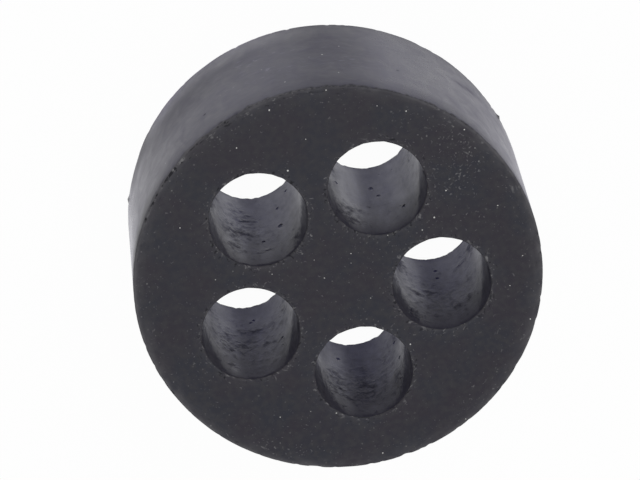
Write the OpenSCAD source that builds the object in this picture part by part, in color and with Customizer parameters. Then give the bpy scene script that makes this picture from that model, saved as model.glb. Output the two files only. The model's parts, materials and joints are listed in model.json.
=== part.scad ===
// Sealing insert for a cable gland: one moulded rubber disc with a ring of
// straight cable bores. It stands on its lower face, with the origin at the
// centre of that face, the disc's axis along +Z and the first bore on +Y.

/* [Disc] */
// Outer diameter, which the gland's clamping cage squeezes
body_d = 25; // [21:0.5:60]
// Thickness from face to face
body_h = 11.7; // [4:0.1:30]
// Radius on the two outer rims
rim_r = 0.1; // [0.05:0.05:1]

/* [Cable bores] */
// Number of cables that the insert seals
bore_count = 5; // [3:1:6]
// Diameter of each cable bore
bore_d = 6; // [2:0.1:7.5]
// Rubber between two neighbouring bores where it is thinnest
web_w = 1.46; // [0.5:0.02:3.5]
// Radius on the two mouths of each bore
mouth_r = 0.1; // [0.05:0.05:0.5]

/* [Hidden] */
$fn = 128;
body_r = body_d / 2;
bore_r = bore_d / 2;
// Turn from one bore to the next, and the direction of the first one
bore_step = 360 / bore_count;
first_bore_angle = 90;
// The web sets how far apart the bores are, and so the circle that they lie on
bore_circle_r = (bore_r + web_w / 2) / sin(bore_step / 2);
// How far a bore's cutting tool runs past each face
overrun = 1;

// Half of the disc's section, right of the axis, with both rims rounded
module disc_section() {
    square([body_r - rim_r, body_h]);
    translate([0, rim_r]) square([body_r, body_h - 2 * rim_r]);
    for (z = [rim_r, body_h - rim_r])
        translate([body_r - rim_r, z]) circle(r = rim_r);
}

// The widening of a bore at the upper face, which ends the bore's wall in a
// quarter circle that meets the face
module mouth_section() {
    difference() {
        translate([0, body_h - mouth_r]) square([bore_r + mouth_r, mouth_r + overrun]);
        translate([bore_r + mouth_r, body_h - mouth_r]) circle(r = mouth_r);
    }
}

// Half of a bore's section, right of its axis, with a mouth at each face
module bore_section() {
    translate([0, -overrun]) square([bore_r, body_h + 2 * overrun]);
    mouth_section();
    translate([0, body_h]) mirror([0, 1]) mouth_section();
}

// The cutting tool of the bore that lies at the given angle round the disc
module bore(angle) {
    rotate(angle) translate([bore_circle_r, 0]) rotate_extrude() bore_section();
}

// The insert: the disc less its ring of evenly spaced cable bores
module sealing_insert() {
    color([0.23, 0.22, 0.24])
        difference() {
            rotate_extrude() disc_section();
            for (i = [0 : bore_count - 1])
                bore(first_bore_angle + i * bore_step);
        }
}

sealing_insert();
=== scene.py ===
import json
import math

import bpy
import numpy as np
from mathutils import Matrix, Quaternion, Vector, geometry, noise


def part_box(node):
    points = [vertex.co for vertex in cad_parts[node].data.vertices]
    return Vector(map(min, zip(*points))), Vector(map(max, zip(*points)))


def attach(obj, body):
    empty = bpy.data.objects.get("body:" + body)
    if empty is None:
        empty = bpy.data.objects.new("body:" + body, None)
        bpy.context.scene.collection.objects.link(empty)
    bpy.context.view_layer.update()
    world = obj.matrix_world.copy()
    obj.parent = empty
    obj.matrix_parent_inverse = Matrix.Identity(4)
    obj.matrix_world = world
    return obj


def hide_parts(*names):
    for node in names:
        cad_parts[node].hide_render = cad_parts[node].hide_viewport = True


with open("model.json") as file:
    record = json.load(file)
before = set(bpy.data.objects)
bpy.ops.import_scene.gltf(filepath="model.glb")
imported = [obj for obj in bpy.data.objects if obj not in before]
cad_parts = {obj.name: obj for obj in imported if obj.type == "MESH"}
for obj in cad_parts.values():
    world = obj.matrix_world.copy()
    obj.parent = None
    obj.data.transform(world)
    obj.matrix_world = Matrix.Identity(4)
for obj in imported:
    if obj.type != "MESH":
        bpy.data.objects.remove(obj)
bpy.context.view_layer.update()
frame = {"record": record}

# Sizes of the insert in millimetres, all from the frame
MM = 0.001
NODE = "sealing_insert"
mounts = {m["name"]: m for m in frame["record"]["mounts"]}
bores = [m for m in mounts.values() if m["kind"] == "bore"]
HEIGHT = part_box(NODE)[1].z / MM
RADIUS = mounts["outer_wall"]["dims"]["r_mm"]
RIM = (HEIGHT - mounts["outer_wall"]["dims"]["length_mm"]) / 2
BORE_RADIUS = bores[0]["dims"]["r_mm"]
MOUTH = (HEIGHT - bores[0]["dims"]["length_mm"]) / 2
BORE_CENTRES = [(m["pos_m"][0] / MM, m["pos_m"][1] / MM) for m in bores]

# The camera looks down on the upper face as the photograph does, with the near wall at the top
VIEW_AZIMUTH = -4.52
VIEW_ELEVATION = 68.21
VIEW_ROLL = 169.44
VIEW_DISTANCE = 266.4
VIEW_AIM = (0.44, -2.88)
LENS = 247.3
SENSOR = 36.0

# The lamp, with its place and size in metres, the world's light on the insert, and the floor
KEY_PLACE = (-0.35, -0.5, 0.55)
KEY_SIZE = 0.5
KEY_POWER = 2.0
SKY_LIGHT = 0.7
FLOOR_HALF = 1.5
FLOOR_GREY = (0.8, 0.8, 0.8, 1)
FLOOR_WHITE_SHARE = 0.97

# Steps of the mesh
WALL_COLUMNS = 720
WALL_ROWS = 36
BORE_COLUMNS = 168
BORE_ROWS = 52
RIM_STEPS = 5
MOUTH_STEPS = 3
UPPER_FACE_STEP = 0.24
LOWER_FACE_STEP = 0.5
FACE_RINGS = (0.07, 0.16, 0.29)
MERGE_DISTANCE = 1e-6

# How far wear reaches from the outer rims and from the bores' mouths, in mm, and the share of it
# by which an edge falls back from the face and from the wall
RIM_WEAR_REACH = 0.3
MOUTH_WEAR_REACH = 0.22
WEAR_SLANT = 0.7

# Materials' places in the piece's list
FACE, WALL, BORE = 0, 1, 2

# How dull the outer wall is by direction round the disc in degrees, from 0, polished, to 1
WALL_DULL = (
    (0, 0.15), (40, 0.45), (70, 0.35), (95, 0.6), (130, 0.4), (175, 0.3), (197, 0.45), (212, 0.52),
    (226, 0.29), (235, 0.24), (243, 0.42), (252, 0.7), (259, 0.75), (268, 0.5), (288, 0.5),
    (303, 0.62), (317, 0.5), (331, 0.43), (340, 0.15), (347, 0.0), (360, 0.15),
)

# A slanting dull line and duller patches on the outer wall: direction, half length in degrees,
# depth below the upper face, half width, slant in mm for each degree, and how much
DULL_PATCHES = (
    (212.5, 5, 8.65, 0.25, 0.1, 0.7),
    (196, 9, 8.5, 1.8, 0, 0.2),
    (326, 9, 10.0, 1.2, 0, 0.3),
    (332, 10, 2.6, 1.6, 0, 0.25),
)

# Pale bloom on the outer wall by direction, from 0, none, to 1. It is partly real bloom and partly
# painted reflection: the bright grazing reflection near the wall's edges as the camera sees it, most at
# 345 to 356 degrees, is painted in as bloom.
WALL_BLOOM_AND_REFLECTION = (
    (0, 0.45), (30, 0.15), (90, 0.25), (150, 0.12), (180, 0.05), (205, 0.12), (225, 0.2),
    (240, 0.3), (250, 0.1), (262, 0.08), (275, 0.2), (300, 0.12), (318, 0.05), (331, 0.1),
    (345, 0.6), (356, 0.6), (360, 0.45),
)

# How grey the outer wall is instead of bluish, by direction, from 0 to 1. Near 186 degrees and from 326
# to 360 degrees this grey is painted reflection: the neutral tone of the white surroundings, reflected at
# a grazing angle where the camera sees the wall edge-on.
WALL_GREY_AND_REFLECTION = (
    (0, 1.0), (30, 0.5), (160, 0.5), (186, 1.0), (195, 0.6), (205, 0.1), (215, 0.0), (300, 0.0),
    (312, 0.3), (326, 1.0), (360, 1.0),
)

# How far the wall's skin falls back at its upper and its lower rim, in mm, by direction.
# Below 0 it stands out instead. The lean begins LEAN_ZONE mm from the rim.
TOP_LEAN = (
    (0, 0.05), (195, 0.05), (205, 0.08), (215, 0.16), (232, 0.17), (243, 0.08), (250, 0.02),
    (265, 0.02), (280, 0.05), (292, 0.03), (308, 0.06), (318, 0.14), (325, 0.22), (333, 0.24),
    (340, 0.2), (350, 0.1), (360, 0.05),
)
FOOT_LEAN = (
    (0, 0.03), (190, 0.0), (205, -0.04), (220, -0.02), (240, 0.0), (252, 0.06), (265, 0.12),
    (276, 0.25), (285, 0.27), (295, 0.2), (310, 0.32), (316, 0.16), (322, -0.04), (332, -0.1),
    (342, 0.05), (350, 0.12), (360, 0.05),
)
LEAN_ZONE = 2.4

# The flakes at the foot of the wall: direction, half width in degrees, height, half height, how far out
BURRS = ((195.5, 0.7, 0.35, 0.2, 0.12), (339.5, 0.8, 0.5, 0.3, 0.1))

# Share of a bore's wall that is polished, by direction round the bore, and how it differs by bore
BORE_POLISH = (
    (0, 0.3), (15, 0.35), (32, 0.36), (47, 0.58), (56, 0.6), (61.5, 0.55), (65.5, 0.42), (72, 0.35),
    (78, 0.34), (92, 0.42), (110, 0.42), (130, 0.37), (150, 0.39), (165, 0.46), (180, 0.35),
    (230, 0.4), (270, 0.3), (330, 0.4), (360, 0.3),
)
POLISH_SHARES = (0.5, 0.6, 1.0, 0.83, 0.63)

# How much of the polish each bore loses towards its upper mouth
MOUTH_LOSSES = (0.55, 0.85, 0.9, 0.45, 0.5)

# Smears in the bores: bore, direction, depth below the upper face, half length in degrees, half width,
# and strength, which is below 0 where the wall is shinier instead
SMEARS = (
    (0, 52, 4.0, 12, 0.3, 0.5),
    (0, 86, 5.0, 14, 0.8, 0.5),
    (0, 70, 3.0, 25, 0.7, 0.3),
    (0, 132, 3.5, 9, 1.0, 0.4),
    (0, 142, 9.6, 17, 1.1, 0.6),
    (0, 57, 1.4, 9, 1.0, -0.6),
    (0, 28, 6.5, 9, 1.8, -0.5),
    (0, 50, 5.5, 14, 1.0, 0.4),
    (0, 117, 7.5, 8, 1.1, 0.4),
    (1, 53, 5.6, 9, 0.2, 0.8),
    (1, 70, 6.2, 6, 0.2, 0.7),
    (1, 112, 3.2, 16, 0.5, 0.6),
    (1, 126, 5.6, 5, 0.3, 0.5),
    (1, 118, 9.0, 9, 0.3, 0.5),
    (1, 28, 9.6, 15, 1.3, 2.3),
    (1, 12, 5.5, 8, 1.0, 0.6),
    (1, 28, 5.5, 8, 1.1, -1.6),
    (1, 43, 1.8, 9, 0.9, 0.5),
    (1, 142, 9.6, 17, 1.1, 0.9),
    (2, 56, 3.9, 11, 0.4, 0.35),
    (2, 45, 2.0, 20, 0.9, 0.6),
    (2, 45, 3.5, 16, 1.1, 0.45),
    (2, 28, 9.5, 9, 1.1, 0.8),
    (2, 12, 5.5, 9, 1.1, 0.5),
    (2, 138, 9.0, 13, 1.8, 0.4),
    (3, 66, 5.4, 16, 0.25, 0.9),
    (3, 68, 6.7, 9, 0.2, 0.6),
    (3, 70, 7.6, 10, 0.2, 0.6),
    (3, 67, 8.5, 8, 0.2, 0.5),
    (3, 44, 5.5, 14, 2.2, 0.4),
    (3, 14, 7.5, 9, 1.2, 1.3),
    (3, 26, 9.5, 9, 1.2, 0.5),
    (3, 57, 5.2, 8, 2.4, 0.35),
    (3, 84, 2.5, 9, 0.15, 0.7),
    (3, 75, 8.2, 13, 0.9, 0.3),
    (3, 47, 2.6, 12, 1.0, 0.4),
    (3, 57, 9.5, 9, 1.2, 0.6),
    (3, 147, 9.5, 9, 1.1, -1.4),
    (3, 147, 3.5, 9, 1.1, -0.6),
    (3, 162, 5.5, 9, 1.1, -0.5),
    (3, 130, 1.8, 11, 0.8, 0.5),
    (4, 86, 7.6, 22, 0.3, 0.6),
    (4, 132, 8.6, 12, 1.6, 0.4),
    (4, 12, 7.5, 9, 1.2, 0.5),
    (4, 72, 5.2, 9, 0.4, 0.65),
    (4, 99, 4.9, 6, 0.2, 0.5),
    (4, 50, 4.4, 12, 0.4, 0.4),
    (4, 57, 1.8, 9, 0.9, -1.0),
    (4, 162, 3.2, 9, 0.8, -1.0),
    (4, 28, 9.6, 10, 1.1, 0.8),
    (4, 52, 6.2, 13, 1.8, 0.4),
)

# Pits in the bores: bore, direction, depth below the upper face, radius. They are painted near black, a
# painted shade of their hollows.
PITS = (
    (0, 57, 8.9, 0.14), (0, 138, 5.5, 0.12), (0, 134, 8.3, 0.12),
    (1, 85, 8.2, 0.13), (1, 85, 9.4, 0.14),
    (2, 80, 7.9, 0.15), (2, 87, 6.5, 0.12), (2, 34, 7.1, 0.13), (2, 114, 3.1, 0.12),
    (3, 109, 5.4, 0.18), (3, 86, 3.9, 0.12), (3, 109, 8.4, 0.12), (3, 125, 10.0, 0.11),
    (4, 84, 8.9, 0.11), (4, 88, 9.2, 0.11),
)

# The pits are longer along the bore than round it, so they are drawn in a place squashed by this factor
PIT_SQUASH = 0.6

# Pale specks and dark marks on the outer wall: direction, depth below the upper face, radius
WALL_SPECKS = (
    (254.8, 2.6, 0.06), (258.5, 6.0, 0.06), (270, 2.2, 0.05), (253.3, 7.5, 0.05), (276, 5.6, 0.04),
)
WALL_MARKS = ((237.5, 4.5, 0.12), (295, 3.5, 0.12))

# Where dust lies thicker on the end faces: x and y in mm, half width, how much
DUST_DRIFTS = ((-7.5, -5.0, 3.0, 1.3), (4.5, 9, 2.5, 0.5), (0, 0, 3.5, 0.3))

# The brightest grains on the upper face: x and y in mm, and radius
GRAINS = (
    (-6.6, -2.4, 0.06), (-7.7, -3.9, 0.05), (-9.7, -7.4, 0.05), (1.2, -7.75, 0.06),
    (-1.15, -1.5, 0.04), (-3.2, 5.3, 0.05), (2.3, 8.5, 0.05), (5.7, 7.8, 0.04),
    (0.2, 11.9, 0.05), (-5.3, 11.1, 0.04), (-10.0, 3.2, 0.04), (-11.2, 1.5, 0.04),
    (-2.3, -12.1, 0.05), (-5.0, -10.3, 0.04), (-6.6, -9.5, 0.05), (1.3, -11.8, 0.06),
    (3.8, -10.0, 0.05), (-0.35, -9.4, 0.04), (-5.7, -1.8, 0.04), (-10.5, -2.1, 0.04),
    (8.4, -5.95, 0.04), (7.2, -2.1, 0.04), (1.1, -1.7, 0.035), (-1.0, -0.9, 0.03),
    (0.8, -0.4, 0.035), (-1.6, 1.65, 0.04), (3.8, -1.5, 0.035), (-3.6, -2.05, 0.035),
    (-10.7, 5.7, 0.045), (3.8, 7.95, 0.04),
)

# How far below the upper face the grains' middles lie, in mm
GRAIN_DEPTH = 0.02

# What the mesh holds at each point for the materials to use. The outer wall's bloom and grey amounts are
# partly painted reflection.
# In the bores the dust amount is painted light, which makes their sides and upper mouths paler.
AMOUNTS = ("dull", "bloom", "grey", "lean", "crust", "worn", "crumbs", "dust", "scuffs", "polish")

# Colours of the end faces
FACE_WARM = (0.029, 0.026, 0.032, 1)
FACE_COOL = (0.026, 0.027, 0.034, 1)
FACE_PALER = (0.052, 0.051, 0.054, 1)
FACE_GRAIN = (0.041, 0.04, 0.043, 1)
FACE_RUBBED = (0.085, 0.083, 0.088, 1)
FACE_CRUMB = (0.19, 0.188, 0.192, 1)
FACE_CHIP = (0.012, 0.012, 0.013, 1)
FACE_DUST = (0.6, 0.6, 0.58, 1)

# Colours of the outer wall, bare and under bloom, which is partly painted reflection, and of what lies on
# it
WALL_BLUISH = (0.0172, 0.016, 0.0272, 1)
WALL_BLUISH_BLOOM_AND_REFLECTION = (0.104, 0.099, 0.158, 1)
WALL_GREYISH = (0.0205, 0.02, 0.0205, 1)
WALL_GREYISH_BLOOM_AND_REFLECTION = (0.118, 0.116, 0.114, 1)
CRUST_DARK = (0.024, 0.0235, 0.026, 1)
CRUST_PALE = (0.076, 0.074, 0.079, 1)
WALL_NICK = (0.13, 0.127, 0.18, 1)
WALL_MARK = (0.012, 0.012, 0.014, 1)
WALL_SPECK = (0.4, 0.4, 0.4, 1)

# Colours of the bores; the paler one is painted light at the bores' sides and below their upper mouths
BORE_BLACK = (0.027, 0.0255, 0.027, 1)
BORE_PAINTED_LIGHT = (0.041, 0.0385, 0.0395, 1)
# The mark colour is also painted shade inside the pits.
BORE_MARK_AND_PIT_SHADE = (0.005, 0.005, 0.005, 1)

# Strength and tint of the reflection, how rough the bores' polish is, and the outer wall's sheen
SKIN_GLOSS = 0.2
SKIN_GLOSS_TINT = (0.8, 0.8, 1, 1)
BORE_GLOSS = 0.05
BORE_GLOSS_TINT = (0.2, 0.2, 8.5, 1)
BORE_COAT_ROUGHNESS = 0.11
WALL_SHEEN = 0.28
SHEEN_ROUGHNESS = 0.25
SHEEN_TINT = (0.78, 0.74, 1, 1)


def rough(x, y, z, size, seed):
    """Smooth noise from about -1 to 1, with bumps of the given size in mm."""
    return noise.noise(Vector((x / size + 17.3 * seed, y / size - 9.1 * seed, z / size + 5.7 * seed)))


def bites(x, y, z, size, seed, above=0.0):
    """How far the noise rises above a level, and 0 where it stays below."""
    return max(0.0, rough(x, y, z, size, seed) - above)


def hump(value, middle, half_width):
    """1 at the middle, falling smoothly to 0 on both sides."""
    return math.exp(-((value - middle) / half_width) ** 2)


def fade(distance, reach):
    """1 at no distance, falling to 0 well past the reach."""
    return math.exp(-distance / reach)


def beyond(value, middle, softness):
    """0 well below the middle and 1 well above it."""
    return 1 / (1 + math.exp(-(value - middle) / softness))


def turn_between(a, b):
    """The angle between two directions in degrees."""
    return abs((a - b + 180) % 360 - 180)


def around(degrees, middle, half_width):
    """A hump over directions, which goes on past 360 degrees."""
    return hump(turn_between(degrees, middle), 0, half_width)


def direction_of(x, y):
    return math.degrees(math.atan2(y, x))


def on_circle(radius, degrees, centre=(0, 0)):
    """The x and y of a point on a circle, in mm."""
    a = math.radians(degrees)
    return centre[0] + radius * math.cos(a), centre[1] + radius * math.sin(a)


def by_angle(table, degrees):
    """The value that a table of directions and values gives between its rows."""
    return float(np.interp(degrees % 360, [row[0] for row in table], [row[1] for row in table]))


def make_camera():
    data = bpy.data.cameras.new("camera")
    data.lens = LENS
    data.sensor_width = SENSOR
    data.clip_start = 0.01
    data.clip_end = 10
    camera = bpy.data.objects.new("camera", data)
    azimuth, elevation = math.radians(VIEW_AZIMUTH), math.radians(VIEW_ELEVATION)
    back = Vector((math.sin(azimuth) * math.cos(elevation),
                   -math.cos(azimuth) * math.cos(elevation),
                   math.sin(elevation)))
    aim = Vector((VIEW_AIM[0], VIEW_AIM[1], HEIGHT))
    camera.location = (aim + back * VIEW_DISTANCE) * MM
    camera.rotation_mode = "QUATERNION"
    level = (-back).to_track_quat("-Z", "Y")
    camera.rotation_quaternion = level @ Quaternion((0, 0, 1), math.radians(VIEW_ROLL))
    bpy.context.scene.collection.objects.link(camera)
    bpy.context.scene.camera = camera


class Surface:
    """Points of the insert in mm with what their material needs, and faces with their material."""

    def __init__(self):
        self.points = []
        self.amounts = {name: [] for name in AMOUNTS}
        self.faces = []
        self.materials = []

    def add(self, point, **given):
        self.points.append(point)
        for name in AMOUNTS:
            self.amounts[name].append(given.get(name, 0.0))
        return len(self.points) - 1

    def face(self, corners, material):
        self.faces.append(corners)
        self.materials.append(material)

    def tube(self, loops, materials, outward):
        """Quads between each loop of points and the next."""
        for loop, below, material in zip(loops, loops[1:], materials):
            count = len(loop)
            for c in range(count):
                nxt = (c + 1) % count
                quad = (loop[c], below[c], below[nxt], loop[nxt])
                self.face(quad if outward else quad[::-1], material)


def rounded_edge(radius, steps):
    """The quarter turn from a face to a wall, as distances in from the wall and down from the face."""
    turns = [math.radians(90 * k / steps) for k in range(steps + 1)]
    return [(radius * (1 - math.sin(t)), radius * (1 - math.cos(t))) for t in turns]


def profile(edge, steps, rows):
    """The side of a wall from face to face, as distances in from the wall and heights.

    The rows between the rounded edges lie closer together near the faces.
    """
    upper = [(inset, HEIGHT - drop) for inset, drop in rounded_edge(edge, steps)]
    lower = [(inset, drop) for inset, drop in reversed(rounded_edge(edge, steps))]
    span = HEIGHT - 2 * edge
    side = []
    for k in range(1, rows):
        share = k / rows
        eased = share - 0.1 * math.sin(2 * math.pi * share)
        side.append((0.0, HEIGHT - edge - span * eased))
    return upper + side + lower


def crumbled(degrees):
    """Where the upper rim of the near side is crumbled, from 0 to 1."""
    return min(1.0, around(degrees, 303, 13) + 0.9 * around(degrees, 272, 17))


def rim_crust(degrees):
    """How pale the wall's dark edge below the upper rim is, by direction."""
    crust = 0.4 + 0.15 * around(degrees, 272, 16)
    crust -= 0.2 * around(degrees, 242, 9)
    return crust + 1.0 * around(degrees, 316, 20)


def rim_crumbs(degrees):
    """How many crumbs the rounded upper rim carries, by direction."""
    return max(0.0, rim_crust(degrees) - 0.9 * around(degrees, 336, 16))


def worn_rim(x, y):
    """How pale the faces are worn at the outer rim, by direction."""
    degrees = direction_of(x, y)
    sides = around(degrees, 5, 45) + around(degrees, 165, 35)
    near = around(degrees, 270, 30)
    return 0.6 + 0.4 * min(1.0, sides) - 0.25 * near + 0.25 * rough(x, y, 0, 1.5, 4)


def upper_wear(degrees, x, y):
    """How far the upper rim is worn away, in mm."""
    wear = 0.03 * bites(x, y, 0, 1.6, 1) + 0.13 * bites(x, y, 0, 0.45, 2, 0.2)
    return wear + 0.16 * crumbled(degrees) * bites(x, y, 0, 0.3, 3, -0.1)


def lower_wear(degrees, x, y):
    """How far the lower rim is worn away, in mm, with one notch."""
    wear = 0.03 * bites(x, y, 3, 1.4, 5) + 0.12 * bites(x, y, 3, 0.4, 6, 0.2)
    return wear + 0.09 * around(degrees, 331, 6)


def burr(degrees, z):
    """How far the small flakes stand out of the wall at its lower rim."""
    total = 0.0
    for middle, half_width, height, half_height, out in BURRS:
        total += out * around(degrees, middle, half_width) * hump(z, height, half_height)
    return total


def wall_dull(degrees, x, y, z):
    """How dull the outer wall is: by direction, in soft patches, and near both rims."""
    depth = HEIGHT - z
    level = by_angle(WALL_DULL, degrees + 1.2 * rough(x, y, z, 2, 10))
    level += 0.14 * rough(x, y, z, 3.5, 11)
    level += 0.25 * beyond(depth, 6.3, 0.4) * around(degrees, 305, 17)
    for middle, half_length, below, half_width, slant, more in DULL_PATCHES:
        off = degrees - middle
        level += more * hump(off, 0, half_length) * hump(depth + slant * off, below, half_width)
    return max(0.0, level + 0.5 * fade(depth, 0.6) + 0.8 * fade(z, 0.2))


def wall_bloom_and_reflection(degrees, depth):
    """How much pale bloom lies on the outer wall, partly as painted reflection: by direction, less below
    the upper rim, and with a painted reflection patch low on the wall near 350 degrees.
    """
    # Painted reflection: extra bloom low on the wall near 350 degrees stands in for the bright grazing
    # reflection there.
    painted_limb_reflection = 0.4 * around(degrees, 350, 8) * hump(depth, 9, 2.5)
    return by_angle(WALL_BLOOM_AND_REFLECTION, degrees) * (1 - 0.5 * fade(depth, 1.2)) + painted_limb_reflection


def wall_grey_and_reflection(degrees, z):
    """How grey the outer wall is, partly as painted reflection: by direction, and more so towards its
    foot.
    """
    lower_half = 1 - beyond(z, 5.4, 0.5)
    foot = 0.4 * fade(z, 1.0) + 0.35 * lower_half * around(degrees, 303, 17)
    return min(1.0, by_angle(WALL_GREY_AND_REFLECTION, degrees) + foot)


def wall_nicks(degrees, depth):
    """Where the outer wall carries rows of short pale nicks, from 0 to 1."""
    rows = hump(depth, 4.8, 1.3) + hump(depth, 8.0, 1.0)
    return rows * (hump(degrees, 277, 11) + 0.5 * hump(degrees, 250, 8))


def wall_place(degrees, inset, z):
    """Where a point of the outer wall lies once the rims are worn and the skin is dented."""
    x, y = on_circle(RADIUS, degrees)
    up = upper_wear(degrees, x, y) * hump(math.hypot(inset, HEIGHT - z), 0, RIM_WEAR_REACH)
    low = lower_wear(degrees, x, y) * hump(math.hypot(inset, z), 0, RIM_WEAR_REACH)
    dent = 0.004 * (1 + rough(x, y, z, 4, 7)) + 0.002 * (1 + rough(x, y, z, 1.2, 8))
    r = RADIUS - inset - WEAR_SLANT * (up + low) - dent
    r += burr(degrees, z)
    height = z - WEAR_SLANT * up + WEAR_SLANT * low
    return *on_circle(r, degrees), height


def add_wall_point(surface, degrees, inset, z):
    """A point of the outer wall with what its materials need."""
    x, y = on_circle(RADIUS, degrees)
    return surface.add(wall_place(degrees, inset, z),
                       dull=wall_dull(degrees, x, y, z),
                       bloom=wall_bloom_and_reflection(degrees, HEIGHT - z),
                       grey=wall_grey_and_reflection(degrees, z),
                       scuffs=wall_nicks(degrees, HEIGHT - z),
                       lean=by_angle(TOP_LEAN if 2 * z > HEIGHT else FOOT_LEAN, degrees),
                       worn=worn_rim(x, y),
                       crumbs=rim_crumbs(degrees),
                       crust=rim_crust(degrees))


def add_outer_wall(surface):
    """The outer wall with both its rims, which gives back its loops at the two faces."""
    loops = []
    for inset, z in profile(RIM, RIM_STEPS, WALL_ROWS):
        turns = [360 * c / WALL_COLUMNS for c in range(WALL_COLUMNS)]
        loops.append([add_wall_point(surface, degrees, inset, z) for degrees in turns])
    rows = len(loops) - 1
    materials = [FACE if k < RIM_STEPS - 1 or k > rows - RIM_STEPS else WALL for k in range(rows)]
    surface.tube(loops, materials, True)
    return loops[0], loops[-1]


def smear(index, degrees, depth):
    """How strongly a point of a bore's wall is smeared, up to 2, or below 0 where it is shinier."""
    total = 0.0
    for bore, middle, below, half_length, half_width, strength in SMEARS:
        if bore != index:
            continue
        off = (degrees - middle + 180) % 360 - 180
        wave = 0.12 * math.sin(0.21 * off + below)
        total += strength * hump(off, 0, half_length) * hump(depth + wave, below, half_width)
    return min(2.0, total)


def polish(index, degrees, depth, swell):
    """The share of a bore's wall that is polished at a point, which falls towards the mouths."""
    share = POLISH_SHARES[index]
    share += 0.5 * (1 - share) * (1 - hump(degrees, 85, 38))
    amount = by_angle(BORE_POLISH, degrees + 3 * swell) * share
    loss = MOUTH_LOSSES[index] + 0.35 * hump(degrees, 134, 26) + 0.35 * hump(degrees, 47, 19)
    near_upper = 1 - min(0.95, loss) * fade(depth, 2.7)
    near_lower = 1 - fade(HEIGHT - depth, 0.2)
    return max(0.0, amount * (1 + 0.2 * swell) * near_upper * near_lower)


def bore_painted_light(degrees, depth):
    """How much painted light a bore's wall carries: a paler base colour at its sides and below the upper
    mouth, standing in for light that reaches there.
    """
    return around(degrees, 0, 38) + around(degrees, 180, 34) + 0.6 * fade(depth, 0.9)


def bore_scuffs(index, degrees, depth):
    """How scuffed a bore's wall is apart from its smears, and less so where it is more polished."""
    return (1.15 - POLISH_SHARES[index]) * around(degrees, 75, 65) * hump(depth, 4.6, 4.2)


def add_bore_point(surface, index, degrees, inset, z):
    """A point of a bore's wall, which is slightly wavy and worn at the mouths."""
    x, y = on_circle(BORE_RADIUS, degrees, BORE_CENTRES[index])
    depth = HEIGHT - z
    groove = smear(index, degrees, depth)
    ridge = rough(x, y, 3 * z, 2.2, 11 + index)
    swell = rough(x, y, z, 2.5, 21 + index)
    up = (0.01 + 0.08 * bites(x, y, 0, 0.6, 31)) * hump(math.hypot(inset, depth), 0, MOUTH_WEAR_REACH)
    low = 0.1 * bites(x, y, 9, 0.35, 32) * hump(math.hypot(inset, z), 0, MOUTH_WEAR_REACH)
    r = BORE_RADIUS + inset + 0.004 * ridge + 0.008 * swell + 0.01 * groove
    r += WEAR_SLANT * (up + low)
    height = z - WEAR_SLANT * up + WEAR_SLANT * low
    return surface.add((*on_circle(r, degrees, BORE_CENTRES[index]), height),
                       scuffs=min(1.0, groove + 0.7 * bore_scuffs(index, degrees, depth)),
                       dust=bore_painted_light(degrees, depth),
                       polish=polish(index, degrees, depth, swell) * (1 - 0.4 * groove),
                       worn=0.2,
                       crumbs=0.7)


def add_bore(surface, index):
    """A bore with both its mouths, which gives back its loops at the two faces."""
    loops = []
    for inset, z in profile(MOUTH, MOUTH_STEPS, BORE_ROWS):
        turns = [360 * c / BORE_COLUMNS for c in range(BORE_COLUMNS)]
        loops.append([add_bore_point(surface, index, degrees, inset, z) for degrees in turns])
    rows = len(loops) - 1
    materials = [FACE if k < MOUTH_STEPS else BORE for k in range(rows)]
    surface.tube(loops, materials, False)
    return loops[0], loops[-1]


def room_at(x, y):
    """How far a spot of an end face is from the outer rim and from the nearest bore."""
    edge = RADIUS - math.hypot(x, y)
    mouth = min(math.hypot(x - c[0], y - c[1]) for c in BORE_CENTRES) - BORE_RADIUS
    return edge, mouth


def face_height(x, y, upper):
    """The gentle unevenness of a moulded face."""
    edge, mouth = room_at(x, y)
    drop = 0.006 * (1 + rough(x, y, 0, 1.8, 41)) + 0.003 * (1 + rough(x, y, 0, 0.5, 42))
    drop += 0.03 * fade(edge, 0.35) + 0.03 * fade(mouth, 0.3)
    return HEIGHT - drop if upper else drop


def face_dust(x, y):
    """How dusty an end face is: in drifts, along the rim and round the mouths."""
    edge, mouth = room_at(x, y)
    dust = 0.15
    for drift_x, drift_y, half_width, amount in DUST_DRIFTS:
        dust += amount * hump(math.hypot(x - drift_x, y - drift_y), 0, half_width)
    dust += 0.6 * hump(edge, 0.7, 0.7) + 0.4 * hump(mouth, 0.5, 0.5)
    return dust * (0.7 + 1.3 * bites(x, y, 0, 2.6, 43))


def add_face_point(surface, x, y, upper):
    """A point of an end face, with more crumbs near the rim and the mouths."""
    edge, mouth = room_at(x, y)
    at_rim = (0.2 + 0.8 * crumbled(direction_of(x, y))) * hump(edge, 0, 0.45)
    return surface.add((x, y, face_height(x, y, upper)),
                       worn=worn_rim(x, y) * fade(edge, 0.35) + 0.2 * fade(mouth, 0.3),
                       crumbs=max(at_rim, 0.9 * hump(mouth, 0, 0.4)),
                       dust=face_dust(x, y))


def ring(surface, loop, grow, upper):
    """A ring of face points beside a loop, moved by the given distance towards the rubber."""
    points = np.array([surface.points[i] for i in loop])
    centre = points[:, :2].mean(axis=0)
    made = []
    for x, y, _ in points:
        away = np.array((x, y)) - centre
        away *= 1 + grow / np.linalg.norm(away)
        made.append(add_face_point(surface, *(centre + away), upper))
    return made


def add_rings(surface, loop, grows, upper, outer):
    """Rings beside a loop, joined to it and to each other, which give back the last of them."""
    last = loop
    for grow in grows:
        made = ring(surface, loop, grow, upper)
        surface.tube([made, last] if outer else [last, made], [FACE], upper)
        last = made
    return last


def free_spot(x, y, room):
    """Whether a spot on the face is clear of the rim and the bores."""
    if math.hypot(x, y) > RADIUS - RIM - room:
        return False
    return all(math.hypot(x - c[0], y - c[1]) > BORE_RADIUS + MOUTH + room for c in BORE_CENTRES)


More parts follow.
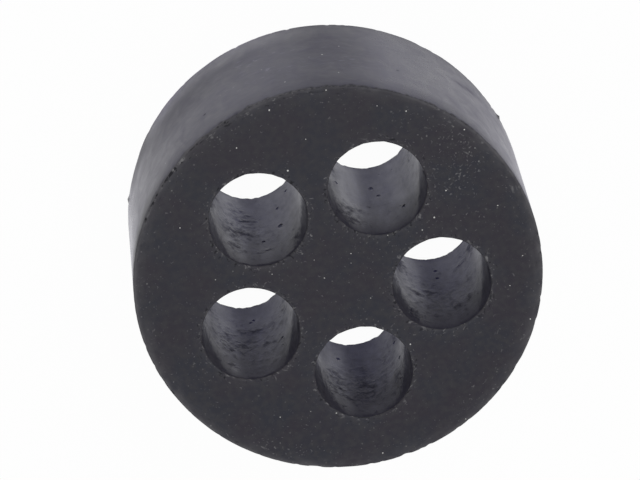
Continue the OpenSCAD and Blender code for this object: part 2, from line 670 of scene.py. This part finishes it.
def inner_points(surface, step, room, upper):
    """Points of a face on a grid of equal triangles, clear of the rim and the bores."""
    made = []
    row_step = step * math.sqrt(3) / 2
    reach = int(RADIUS / row_step) + 1
    for j in range(-reach, reach + 1):
        for i in range(-reach, reach + 1):
            x, y = (i + (j % 2) / 2) * step, j * row_step
            if free_spot(x, y, room):
                made.append(add_face_point(surface, x, y, upper))
    return made


def fill_face(surface, loops, inner, upper):
    """Triangles over the inner points, from the first loop to the other loops, which are holes."""
    ids = [i for loop in loops for i in loop] + inner
    coords = [Vector(surface.points[i][:2]) for i in ids]
    borders, count = [], 0
    for loop in loops:
        borders.append(list(range(count, count + len(loop))))
        count += len(loop)
    made = geometry.delaunay_2d_cdt(coords, [], borders, 1, MERGE_DISTANCE, True)
    for face, owners in zip(made[2], made[5]):
        if list(owners) != [0]:
            continue
        corners = [ids[made[3][k][0]] for k in face]
        a, b, c = (Vector(surface.points[k][:2]) for k in corners)
        turn = (b - a).cross(c - a)
        surface.face(corners if (turn > 0) == upper else corners[::-1], FACE)


def close_face(surface, outer, holes, upper):
    """Fills a face between the outer rim's loop and the bores' loops."""
    step = UPPER_FACE_STEP if upper else LOWER_FACE_STEP
    grows = FACE_RINGS if upper else FACE_RINGS[:1]
    loops = [add_rings(surface, outer, [-grow for grow in grows], upper, True)]
    loops += [add_rings(surface, hole, grows, upper, False) for hole in holes]
    inner = inner_points(surface, step, grows[-1] + 0.45 * step, upper)
    fill_face(surface, loops, inner, upper)


def insert_mesh():
    """The whole insert as one closed mesh, with the amounts for its materials."""
    surface = Surface()
    upper, lower = add_outer_wall(surface)
    mouths = [add_bore(surface, k) for k in range(len(BORE_CENTRES))]
    close_face(surface, upper, [m[0] for m in mouths], True)
    close_face(surface, lower, [m[1] for m in mouths], False)
    points = np.array(surface.points)
    points[:, 2] = points[:, 2].clip(0, HEIGHT)
    data = bpy.data.meshes.new("insert_rubber")
    data.from_pydata((points * MM).tolist(), [], surface.faces)
    for name, values in surface.amounts.items():
        layer = data.attributes.new(name, "FLOAT", "POINT")
        layer.data.foreach_set("value", values)
    data.polygons.foreach_set("material_index", surface.materials)
    data.polygons.foreach_set("use_smooth", [True] * len(data.polygons))
    return data


def put(tree, target, value):
    """Sets a socket to a value, or links it to a node's output."""
    if isinstance(value, bpy.types.NodeSocket):
        tree.links.new(value, target)
    else:
        target.default_value = value


def combine(tree, operation, a, b):
    made = tree.nodes.new("ShaderNodeMath")
    made.operation = operation
    put(tree, made.inputs[0], a)
    put(tree, made.inputs[1], b)
    return made.outputs[0]


def plus(tree, a, b):
    return combine(tree, "ADD", a, b)


def times(tree, a, b):
    return combine(tree, "MULTIPLY", a, b)


def larger(tree, a, b):
    return combine(tree, "MAXIMUM", a, b)


def spread(tree, value, low, high, to_low=0.0, to_high=1.0):
    """A value moved from one range to another, and held at the ends."""
    made = tree.nodes.new("ShaderNodeMapRange")
    put(tree, made.inputs["Value"], value)
    made.inputs["From Min"].default_value = low
    made.inputs["From Max"].default_value = high
    made.inputs["To Min"].default_value = to_low
    made.inputs["To Max"].default_value = to_high
    return made.outputs["Result"]


def blend(tree, factor, a, b):
    """A colour between two others."""
    made = tree.nodes.new("ShaderNodeMix")
    made.data_type = "RGBA"
    for index, value in ((0, factor), (6, a), (7, b)):
        put(tree, made.inputs[index], value)
    return made.outputs[2]


def vector_step(tree, operation, a, b=None, c=None):
    made = tree.nodes.new("ShaderNodeVectorMath")
    made.operation = operation
    for socket, value in zip(made.inputs, (a, b, c)):
        if value is not None:
            put(tree, socket, value)
    return made


def millimetres(tree, stretch=(1, 1, 1)):
    """Where a point lies on the insert, in mm, with each axis stretched by its factor."""
    place = tree.nodes.new("ShaderNodeTexCoord")
    scale = [s / MM for s in stretch]
    return vector_step(tree, "MULTIPLY", place.outputs["Object"], scale).outputs[0]


def speckle(tree, place, scale, detail=2.0, warp=0.0):
    """Cloudy noise from 0 to 1, with the given number of bumps to a unit of the place."""
    made = tree.nodes.new("ShaderNodeTexNoise")
    tree.links.new(place, made.inputs["Vector"])
    made.inputs["Scale"].default_value = scale
    made.inputs["Detail"].default_value = detail
    made.inputs["Distortion"].default_value = warp
    return made.outputs["Fac"]


def painted(tree, name, most=1.0):
    """An amount that the mesh holds, times a factor."""
    made = tree.nodes.new("ShaderNodeAttribute")
    made.attribute_name = name
    return times(tree, made.outputs["Fac"], most)


def warped(tree, place, size, reach):
    """A place moved about by noise, so that what is drawn there gets an uneven outline."""
    wobble = tree.nodes.new("ShaderNodeTexNoise")
    tree.links.new(place, wobble.inputs["Vector"])
    wobble.inputs["Scale"].default_value = 1 / size
    moved = vector_step(tree, "MULTIPLY_ADD", wobble.outputs["Color"], [reach] * 3, place).outputs[0]
    return vector_step(tree, "SUBTRACT", moved, [reach / 2] * 3).outputs[0]


def dots(tree, place, spots):
    """1 inside small balls and 0 outside, each given by its centre and its radius."""
    total = 0.0
    for x, y, z, radius in spots:
        away = vector_step(tree, "DISTANCE", place, (x, y, z)).outputs["Value"]
        ball = spread(tree, away, 0.5 * radius, 1.1 * radius, 1, 0)
        total = larger(tree, ball, total)
    return total


def specks(tree, place, per_mm, radius, rare):
    """Scattered specks of uneven strength, fewer of them the nearer rare is to 1."""
    cells = tree.nodes.new("ShaderNodeTexVoronoi")
    tree.links.new(place, cells.inputs["Vector"])
    cells.inputs["Scale"].default_value = per_mm
    reach = radius * per_mm
    shape = spread(tree, cells.outputs["Distance"], 0.5 * reach, 1.1 * reach, 1, 0)
    split = tree.nodes.new("ShaderNodeSeparateColor")
    tree.links.new(cells.outputs["Color"], split.inputs[0])
    return times(tree, shape, spread(tree, split.outputs[0], rare, 1))


def part_of(tree, place, axis):
    split = tree.nodes.new("ShaderNodeSeparateXYZ")
    tree.links.new(place, split.inputs[0])
    return split.outputs[axis]


def along_rim(tree, place, stretch):
    """A place in which texture is drawn out along the outer rim, by a factor, and not across it."""
    flat = vector_step(tree, "MULTIPLY", place, (1, 1, 0)).outputs[0]
    direction = vector_step(tree, "NORMALIZE", flat).outputs[0]
    around_rim = vector_step(tree, "MULTIPLY", direction, [RADIUS / stretch] * 3).outputs[0]
    across = tree.nodes.new("ShaderNodeCombineXYZ")
    radius = vector_step(tree, "LENGTH", flat).outputs["Value"]
    put(tree, across.inputs["Z"], plus(tree, radius, part_of(tree, place, "Z")))
    return vector_step(tree, "ADD", around_rim, across.outputs[0]).outputs[0]


def raise_surface(tree, shader, height, layers=("Normal",)):
    """Bump from a height in mm."""
    made = tree.nodes.new("ShaderNodeBump")
    made.inputs["Distance"].default_value = MM
    tree.links.new(height, made.inputs["Height"])
    for layer in layers:
        tree.links.new(made.outputs[0], shader.inputs[layer])


def rubber(name, gloss, tint, sheen):
    """A material whose gloss and sheen are the same all over."""
    material = bpy.data.materials.new(name)
    material.use_nodes = True
    shader = material.node_tree.nodes["Principled BSDF"]
    shader.inputs["Specular IOR Level"].default_value = gloss
    shader.inputs["Specular Tint"].default_value = tint
    shader.inputs["Sheen Weight"].default_value = sheen
    shader.inputs["Sheen Roughness"].default_value = SHEEN_ROUGHNESS
    shader.inputs["Sheen Tint"].default_value = SHEEN_TINT
    return material, material.node_tree, shader


def face_black(tree, place, fine):
    """The faces' bare rubber: faintly mottled, paler towards the near side, and finely grained."""
    mottle = speckle(tree, place, 0.35, 3)
    black = blend(tree, spread(tree, mottle, 0.4, 0.6), FACE_WARM, FACE_COOL)
    near = spread(tree, part_of(tree, place, "Y"), 9, -12, 0, 0.14)
    black = blend(tree, near, black, FACE_PALER)
    return blend(tree, spread(tree, fine, 0.4, 0.78), black, FACE_GRAIN)


def with_wear(tree, place, black):
    """The faces' rubber with rubbed edges, pale crumbs and dark chips."""
    drawn = along_rim(tree, place, 2.5)
    patchy = spread(tree, speckle(tree, drawn, 2.5, 4), 0.35, 0.65, 0.4, 1.4)
    black = blend(tree, times(tree, painted(tree, "worn"), patchy), black, FACE_RUBBED)
    crumbs = plus(tree, speckle(tree, drawn, 4, 3, 0.5), painted(tree, "crumbs", 0.15))
    grit = plus(tree, speckle(tree, place, 6, 2, 0.5), painted(tree, "dust", 0.07))
    grit = larger(tree, grit, crumbs)
    black = blend(tree, spread(tree, grit, 0.7, 0.9), black, FACE_CRUMB)
    chips = combine(tree, "SUBTRACT", speckle(tree, drawn, 5, 3, 0.5), painted(tree, "crumbs", 0.16))
    chips = spread(tree, chips, 0.31, 0.21)
    chips = times(tree, chips, spread(tree, painted(tree, "crumbs"), 0, 0.5, 0.3, 1))
    return blend(tree, chips, black, FACE_CHIP)


def face_rubber():
    """Matt, finely grained black, with pale grains all over and crumbs along the edges."""
    material, tree, shader = rubber("face_rubber", SKIN_GLOSS, SKIN_GLOSS_TINT, 0.0)
    place = millimetres(tree)
    uneven = warped(tree, place, 0.08, 0.06)
    fine = speckle(tree, place, 2.5, 5)
    black = with_wear(tree, place, face_black(tree, place, fine))
    dust = larger(tree, specks(tree, uneven, 2.3, 0.06, 0.4), specks(tree, uneven, 0.9, 0.08, 0.6))
    dust = times(tree, dust, painted(tree, "dust", 0.3))
    grains = dots(tree, uneven, [(x, y, HEIGHT - GRAIN_DEPTH, radius) for x, y, radius in GRAINS])
    pale = larger(tree, dust, grains)
    put(tree, shader.inputs["Base Color"], blend(tree, pale, black, FACE_DUST))
    put(tree, shader.inputs["Roughness"], spread(tree, fine, 0.3, 0.7, 0.6, 0.72))
    raise_surface(tree, shader, plus(tree, times(tree, fine, 0.03), times(tree, pale, 0.01)))
    return material


def wall_point(degrees, depth, radius):
    """The centre and the radius of a ball on the outer wall."""
    return *on_circle(RADIUS, degrees), HEIGHT - depth, radius


def wall_skin(tree, patches):
    """The wall's bare rubber under its bloom, bluish or grey; the bloom is partly painted reflection, and
    the grey is partly the painted neutral tone of a grazing reflection.
    """
    bloom = plus(tree, painted(tree, "bloom"), spread(tree, patches, 0.3, 0.7, -0.06, 0.06))
    bluish = blend(tree, bloom, WALL_BLUISH, WALL_BLUISH_BLOOM_AND_REFLECTION)
    greyish = blend(tree, bloom, WALL_GREYISH, WALL_GREYISH_BLOOM_AND_REFLECTION)
    # Grey here is partly painted reflection: the neutral tone of a grazing reflection at the wall's
    # edges.
    return blend(tree, painted(tree, "grey"), bluish, greyish)


def wall_lean(tree, place):
    """How far the wall's skin falls back near its rims, in mm."""
    height = part_of(tree, place, "Z")
    near_top = spread(tree, height, HEIGHT - LEAN_ZONE, HEIGHT)
    near_foot = spread(tree, height, LEAN_ZONE, 0)
    near = larger(tree, near_top, near_foot)
    return times(tree, times(tree, near, near), painted(tree, "lean"))


def ragged_rim(tree, place):
    """1 on the ragged dark edge below the upper rim, and 0 below it."""
    teeth = speckle(tree, millimetres(tree, (1, 1, 0.25)), 1.5, 5)
    ragged = plus(tree, part_of(tree, place, "Z"), spread(tree, teeth, 0.35, 0.65, -0.2, 0.2))
    return spread(tree, ragged, HEIGHT - 0.45, HEIGHT - 0.2)


def with_rim_and_nicks(tree, place, rim, shade):
    """The wall's rubber with its dark, crumbly upper edge and rows of short pale nicks."""
    crumbs = plus(tree, speckle(tree, place, 5, 3), painted(tree, "crust", 0.4))
    crust = blend(tree, spread(tree, crumbs, 0.61, 0.84), CRUST_DARK, CRUST_PALE)
    shade = blend(tree, rim, shade, crust)
    nicks = spread(tree, speckle(tree, along_rim(tree, place, 2.0), 3.5, 3, 0.5), 0.58, 0.72)
    return blend(tree, times(tree, nicks, painted(tree, "scuffs", 0.75)), shade, WALL_NICK)


def wall_rubber():
    """The outer wall's smoother skin under a thin pale bloom, which is partly painted reflection, with a
    ragged dark upper rim.
    """
    material, tree, shader = rubber("wall_rubber", SKIN_GLOSS, SKIN_GLOSS_TINT, WALL_SHEEN)
    place = millimetres(tree)
    uneven = warped(tree, place, 0.15, 0.15)
    patches = speckle(tree, millimetres(tree, (0.9, 0.9, 0.55)), 1, 4, 0.8)
    streaks = speckle(tree, along_rim(tree, place, 1.6), 1.8, 5)
    rim = ragged_rim(tree, place)
    shade = with_rim_and_nicks(tree, place, rim, wall_skin(tree, patches))
    marks = dots(tree, uneven, [wall_point(*mark) for mark in WALL_MARKS])
    shade = blend(tree, times(tree, marks, 0.5), shade, WALL_MARK)
    pale = dots(tree, uneven, [wall_point(*speck) for speck in WALL_SPECKS])
    pale = larger(tree, pale, times(tree, specks(tree, uneven, 1.2, 0.06, 0.9), 0.5))
    put(tree, shader.inputs["Base Color"], blend(tree, pale, shade, WALL_SPECK))
    dull = plus(tree, painted(tree, "dull"), spread(tree, patches, 0.3, 0.7, -0.17, 0.17))
    dull = plus(tree, dull, spread(tree, streaks, 0.3, 0.7, -0.08, 0.08))
    dull = plus(tree, dull, larger(tree, rim, marks))
    put(tree, shader.inputs["Roughness"], spread(tree, dull, 0, 2, 0.2, 0.8))
    relief = plus(tree, times(tree, streaks, 0.0042), times(tree, patches, 0.012))
    raise_surface(tree, shader, combine(tree, "SUBTRACT", relief, wall_lean(tree, place)))
    return material


def bore_point(index, degrees, depth, radius):
    """The centre and the radius of a ball on a bore's wall, in the squashed place."""
    x, y = on_circle(BORE_RADIUS, degrees, BORE_CENTRES[index])
    return x, y, PIT_SQUASH * (HEIGHT - depth), radius


def bore_rubber():
    """The bores' skin: matt rubber under a thin polish, which scuffs and pits break up."""
    material, tree, shader = rubber("bore_rubber", BORE_GLOSS, BORE_GLOSS_TINT, 0.0)
    shader.inputs["Coat Roughness"].default_value = BORE_COAT_ROUGHNESS
    blots = speckle(tree, millimetres(tree, (1, 1, 0.7)), 2.6, 4, 0.5)
    soft = speckle(tree, millimetres(tree, (0.9, 0.9, 0.4)), 1, 4)
    fine = speckle(tree, millimetres(tree, (1, 1, 0.5)), 2.5, 3)
    scuff = spread(tree, plus(tree, blots, painted(tree, "scuffs", 0.3)), 0.62, 0.84)
    drawn = warped(tree, millimetres(tree, (1, 1, PIT_SQUASH)), 0.12, 0.1)
    pits = dots(tree, drawn, [bore_point(*pit) for pit in PITS])
    pits = larger(tree, pits, specks(tree, drawn, 1.1, 0.08, 0.6))
    hollow = larger(tree, times(tree, scuff, 0.62), pits)
    left = times(tree, painted(tree, "polish", 1.05), spread(tree, hollow, 0, 1, 1, 0))
    put(tree, shader.inputs["Coat Weight"], times(tree, left, spread(tree, soft, 0.3, 0.7, 0.75, 1.2)))
    # Painted light: the base is made paler at the bores' sides and below their upper mouths.
    black = blend(tree, painted(tree, "dust", 0.8), BORE_BLACK, BORE_PAINTED_LIGHT)
    # The pits are painted near black: painted shade in their hollows.
    dark = larger(tree, times(tree, scuff, 0.3), pits)
    put(tree, shader.inputs["Base Color"], blend(tree, dark, black, BORE_MARK_AND_PIT_SHADE))
    matt = spread(tree, painted(tree, "polish"), 0.05, 0.45, 0.6, 0.36)
    matt = plus(tree, matt, times(tree, scuff, 0.1))
    matt = plus(tree, matt, spread(tree, fine, 0.3, 0.7, -0.05, 0.05))
    put(tree, shader.inputs["Roughness"], matt)
    relief = times(tree, blots, painted(tree, "scuffs", 0.1))
    height = plus(tree, times(tree, fine, 0.0035), relief)
    height = combine(tree, "SUBTRACT", height, times(tree, pits, 0.05))
    raise_surface(tree, shader, height, ("Normal", "Coat Normal"))
    return material


def seen_directly(tree):
    """1 for a ray from the camera, or one that a glossy or clear surface sends, and 0 for other light."""
    path = tree.nodes.new("ShaderNodeLightPath")
    glossy = larger(tree, path.outputs["Is Camera Ray"], path.outputs["Is Glossy Ray"])
    return larger(tree, glossy, path.outputs["Is Transmission Ray"])


def floor_material():
    """White to look at, and pale grey to other light, with a little of the insert's shadow."""
    material = bpy.data.materials.new("floor")
    material.use_nodes = True
    tree = material.node_tree
    tree.nodes.clear()
    diffuse = tree.nodes.new("ShaderNodeBsdfDiffuse")
    diffuse.inputs["Color"].default_value = FLOOR_GREY
    white = tree.nodes.new("ShaderNodeEmission")
    white.inputs["Strength"].default_value = 1.0
    mix = tree.nodes.new("ShaderNodeMixShader")
    put(tree, mix.inputs[0], times(tree, seen_directly(tree), FLOOR_WHITE_SHARE))
    put(tree, mix.inputs[1], diffuse.outputs[0])
    put(tree, mix.inputs[2], white.outputs[0])
    output = tree.nodes.new("ShaderNodeOutputMaterial")
    tree.links.new(mix.outputs[0], output.inputs["Surface"])
    return material


def make_floor():
    data = bpy.data.meshes.new("floor")
    corners = [(-FLOOR_HALF, -FLOOR_HALF, 0), (FLOOR_HALF, -FLOOR_HALF, 0),
               (FLOOR_HALF, FLOOR_HALF, 0), (-FLOOR_HALF, FLOOR_HALF, 0)]
    data.from_pydata(corners, [], [(0, 1, 2, 3)])
    floor = bpy.data.objects.new("floor", data)
    bpy.context.scene.collection.objects.link(floor)
    data.materials.append(floor_material())


def light_world():
    """A plain white world, at full strength only where it is seen."""
    world = bpy.data.worlds.new("world")
    bpy.context.scene.world = world
    world.use_nodes = True
    tree = world.node_tree
    background = tree.nodes["Background"]
    background.inputs["Color"].default_value = (1, 1, 1, 1)
    put(tree, background.inputs["Strength"], spread(tree, seen_directly(tree), 0, 1, SKY_LIGHT, 1.0))


def make_lamp(name, place, size, power):
    """An area lamp that faces the insert."""
    data = bpy.data.lights.new(name, "AREA")
    data.size = size
    data.energy = power
    lamp = bpy.data.objects.new(name, data)
    lamp.location = place
    lamp.rotation_mode = "QUATERNION"
    lamp.rotation_quaternion = (-Vector(place)).to_track_quat("-Z", "Y")
    bpy.context.scene.collection.objects.link(lamp)


def make_insert():
    piece = bpy.data.objects.new("insert_rubber", insert_mesh())
    bpy.context.scene.collection.objects.link(piece)
    for material in (face_rubber(), wall_rubber(), bore_rubber()):
        piece.data.materials.append(material)
    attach(piece, "root")
    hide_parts(NODE)


bpy.context.scene.view_settings.view_transform = "Standard"
make_camera()
make_floor()
light_world()
make_lamp("key", KEY_PLACE, KEY_SIZE, KEY_POWER)
make_insert()
